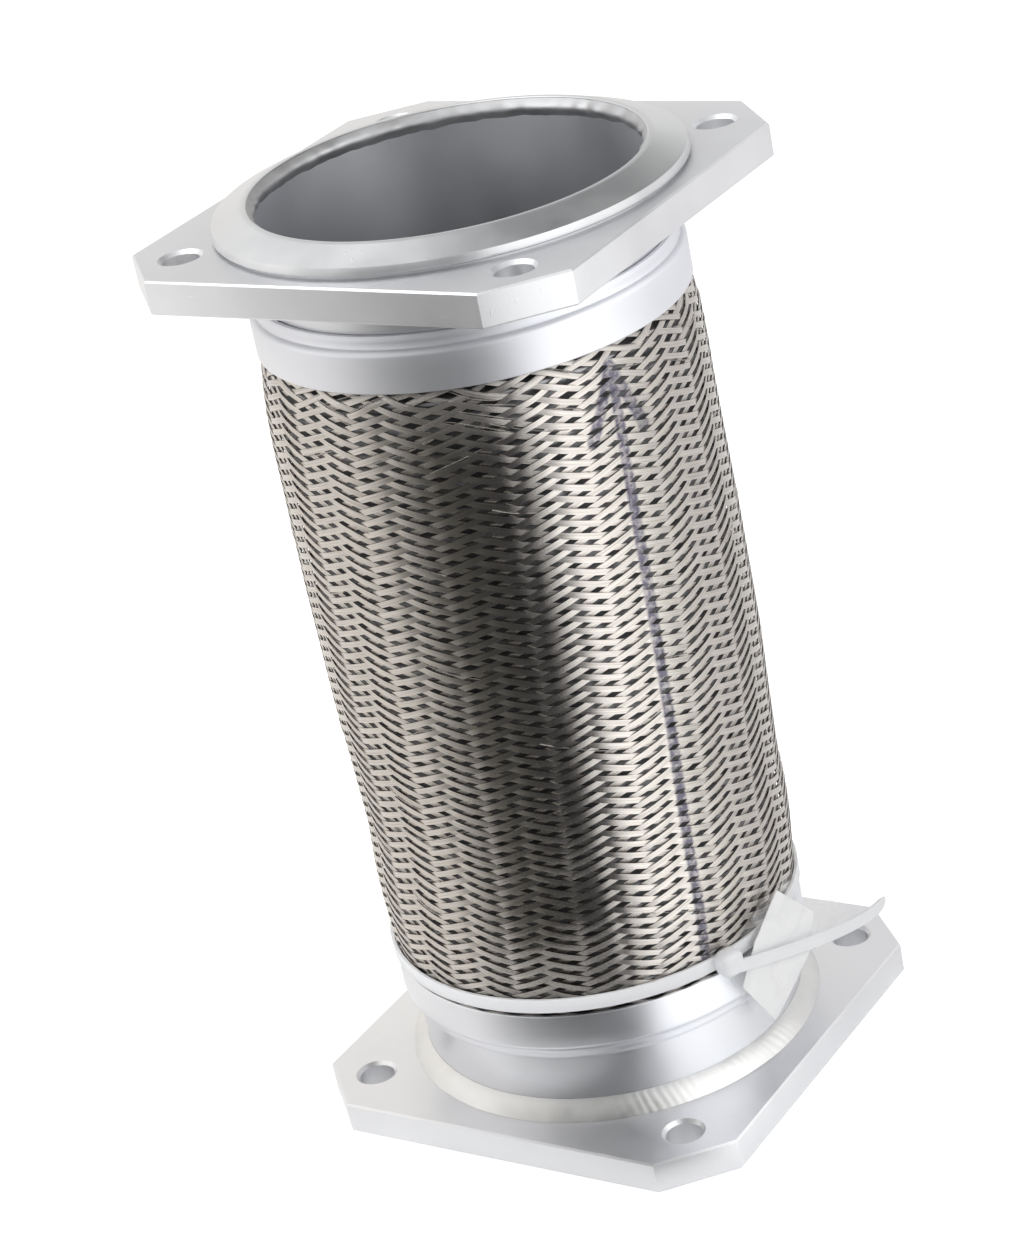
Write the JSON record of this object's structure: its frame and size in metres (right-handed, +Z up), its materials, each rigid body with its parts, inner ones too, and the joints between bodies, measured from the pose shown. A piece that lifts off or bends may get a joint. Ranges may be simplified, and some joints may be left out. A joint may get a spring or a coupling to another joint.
{
  "type": "exhaust flex pipe",
  "caption": "Flexible exhaust connector: corrugated bellows under a woven steel braid, rolled collars, square bolted end flanges and a conical seal ring.",
  "frame": {"origin": "centre of the bottom flange's outer face, on the pipe's axis, where the part stands", "axes": "+Z up along the pipe's axis toward the seal ring; +X and +Y square to the flanges' sides, with the cable tie's head and the pouch on the +X side"},
  "size_m": [0.1601, 0.16, 0.3161],
  "materials": {
    "flange_steel": "satin, machined face with light scratches",
    "pipe_steel": "smooth drawn tube",
    "weld_steel": "rippled weld bead",
    "collar_steel": "polished sheet",
    "bellows_steel": "thin formed sheet",
    "braid_steel": "bare drawn wire",
    "ring_steel": "turned, lightly scratched",
    "tie_plastic": "natural white nylon",
    "pouch_film": "clear plastic film",
    "card": "plain white card"
  },
  "bodies": {
    "lower_end": {"bottom_flange": "flange_steel", "bottom_end_pipe": "pipe_steel", "bottom_flange_weld": "weld_steel", "bottom_face_weld": "weld_steel", "bottom_collar": "collar_steel", "bellows": "bellows_steel", "braid": "braid_steel", "cable_tie": "tie_plastic", "tag_pouch": "pouch_film", "tag_card": "card"},
    "upper_end": {"top_collar": "collar_steel", "top_flange_weld": "weld_steel", "top_flange": "flange_steel", "top_end_pipe": "pipe_steel", "seal_ring": "ring_steel", "seal_ring_weld": "weld_steel"}
  },
  "joints": [
    {"name": "axial_flex", "type": "slide", "parent": "lower_end", "child": "upper_end", "axis": [0, 0, 1], "range_m": [-0.015, 0.005], "stiffness_N_per_m": 60000, "deforming": ["bellows", "braid"]}
  ]
}
